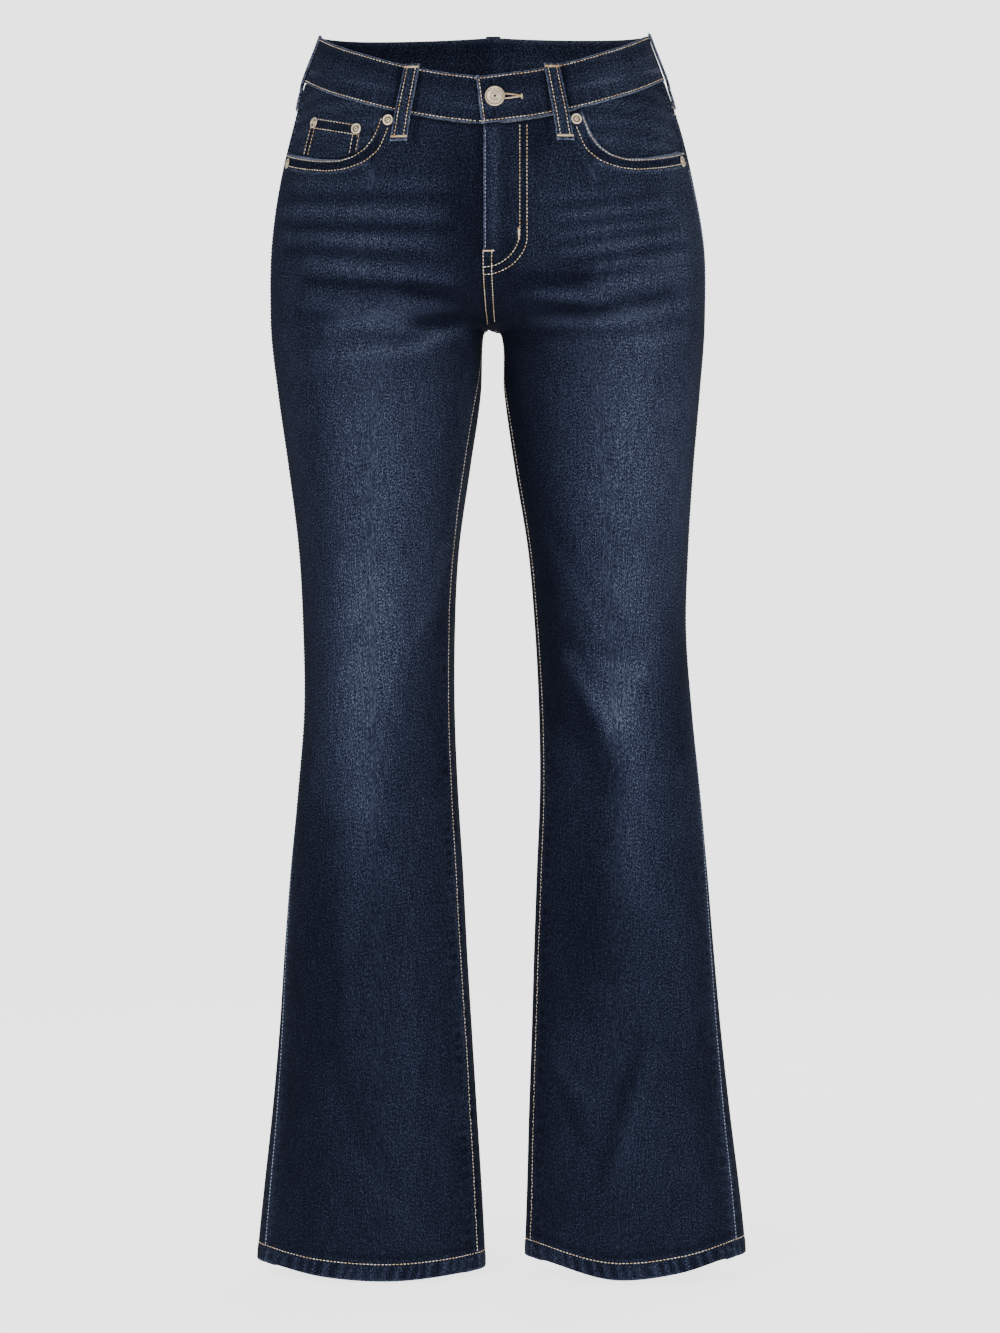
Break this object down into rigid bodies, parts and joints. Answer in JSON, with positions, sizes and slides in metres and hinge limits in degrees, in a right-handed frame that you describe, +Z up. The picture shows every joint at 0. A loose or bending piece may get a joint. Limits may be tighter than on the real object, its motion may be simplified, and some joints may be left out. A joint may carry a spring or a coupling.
{
  "type": "bootcut jeans",
  "caption": "Worn, hollow bootcut denim trousers with five pockets, belt loops, a closed fly and flared legs.",
  "frame": {"origin": "middle of the waist opening, level with the top of the waistband at the sides", "axes": "+Z up, -Y to the wearer's front, +X to the wearer's left"},
  "size_m": [0.4207, 0.2405, 1.0789],
  "materials": {
    "denim": "dark indigo twill, faded on the thighs and knees, with a fine pale grain",
    "thread": "golden top stitching",
    "button_metal": "pale champagne metal, brushed",
    "rivet_metal": "pale copper metal"
  },
  "bodies": {
    "root": {"back_left": "denim", "back_pocket_left": "denim", "back_pocket_right": "denim", "back_right": "denim", "belt_loop_back": "denim", "belt_loop_front_left": "denim", "belt_loop_front_right": "denim", "belt_loop_side_left": "denim", "belt_loop_side_right": "denim", "button": "button_metal", "coin_pocket": "denim", "front_left": "denim", "front_right": "denim", "pocket_facing_left": "denim", "pocket_facing_right": "denim", "rivet_coin_inner": "rivet_metal", "rivet_coin_outer": "rivet_metal", "rivet_scoop_left": "rivet_metal", "rivet_scoop_right": "rivet_metal", "rivet_side_left": "rivet_metal", "rivet_side_right": "rivet_metal", "waistband_left": "denim", "waistband_right": "denim", "yoke_left": "denim", "yoke_right": "denim"}
  },
  "joints": []
}
